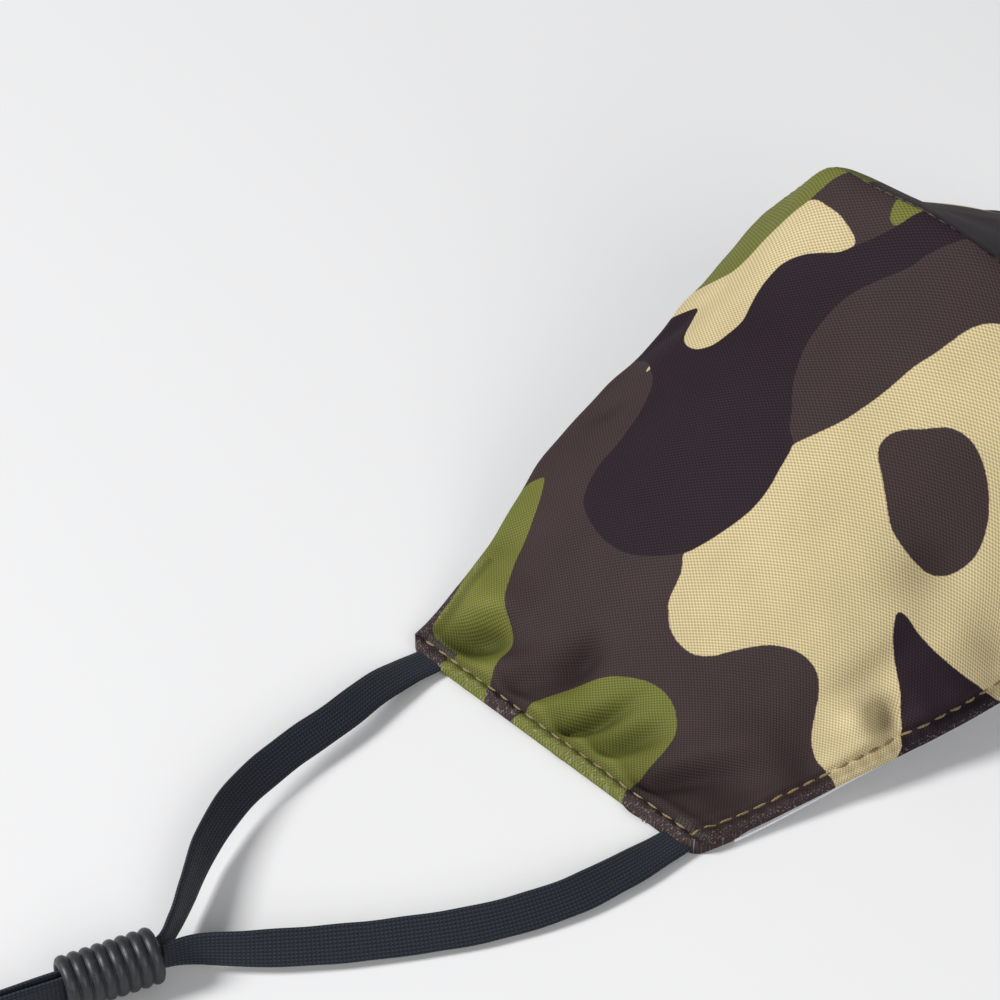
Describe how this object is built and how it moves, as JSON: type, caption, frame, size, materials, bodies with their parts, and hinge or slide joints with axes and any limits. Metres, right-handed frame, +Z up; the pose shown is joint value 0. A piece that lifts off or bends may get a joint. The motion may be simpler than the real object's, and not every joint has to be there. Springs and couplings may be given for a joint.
{
  "type": "cloth face mask",
  "caption": "Contoured cloth face mask in a camouflage print with a centre seam, topstitched turned hems, flat elastic ear loops and ribbed rubber sliding adjusters.",
  "frame": {"origin": "bottom centre of the mask body's bounding box, on the table that the two side hems lie on", "axes": "+X from the left ear side to the right ear side, +Y from the chin edge to the nose edge, +Z up, out of the mask's convex outer face"},
  "size_m": [0.4632, 0.1028, 0.0657],
  "materials": {
    "camo_polyester": "printed fine knit polyester in tan, green, brown and near-black",
    "filter_felt": "non-woven filter felt",
    "white_lining": "white knit cotton",
    "nose_wire_aluminium": "bare soft strip",
    "tan_thread": "sewing thread",
    "black_elastic": "flat knitted elastic",
    "charcoal_rubber": "matte ribbed"
  },
  "bodies": {
    "mask": {"outer_panel_left": "camo_polyester", "middle_layer_left": "filter_felt", "lining_left": "white_lining", "outer_panel_right": "camo_polyester", "middle_layer_right": "filter_felt", "lining_right": "white_lining", "nose_wire": "nose_wire_aluminium", "topstitch_left": "tan_thread", "topstitch_right": "tan_thread", "centre_seam_thread": "tan_thread", "bartack_nose_left": "tan_thread", "bartack_chin_left": "tan_thread", "bartack_nose_right": "tan_thread", "bartack_chin_right": "tan_thread"},
    "left_loop": {"ear_elastic_left": "black_elastic"},
    "right_loop": {"ear_elastic_right": "black_elastic"},
    "left_adjuster": {"adjuster_left": "charcoal_rubber"},
    "right_adjuster": {"adjuster_right": "charcoal_rubber"}
  },
  "joints": [
    {"name": "left_loop_fold", "type": "hinge", "parent": "mask", "child": "left_loop", "pos_m": [-0.0977, 0.004, 0.0012], "axis": [-0.0499, 0.9988, 0], "range_deg": [-90, 105]},
    {"name": "right_loop_fold", "type": "hinge", "parent": "mask", "child": "right_loop", "pos_m": [0.0977, 0.004, 0.0012], "axis": [-0.0499, -0.9988, 0], "range_deg": [-90, 105]},
    {"name": "left_adjuster_slide", "type": "slide", "parent": "left_loop", "child": "left_adjuster", "axis": [-0.9613, 0.2756, 0], "range_m": [0, 0.016]},
    {"name": "right_adjuster_slide", "type": "slide", "parent": "right_loop", "child": "right_adjuster", "axis": [0.9613, 0.2756, 0], "range_m": [0, 0.016]}
  ]
}
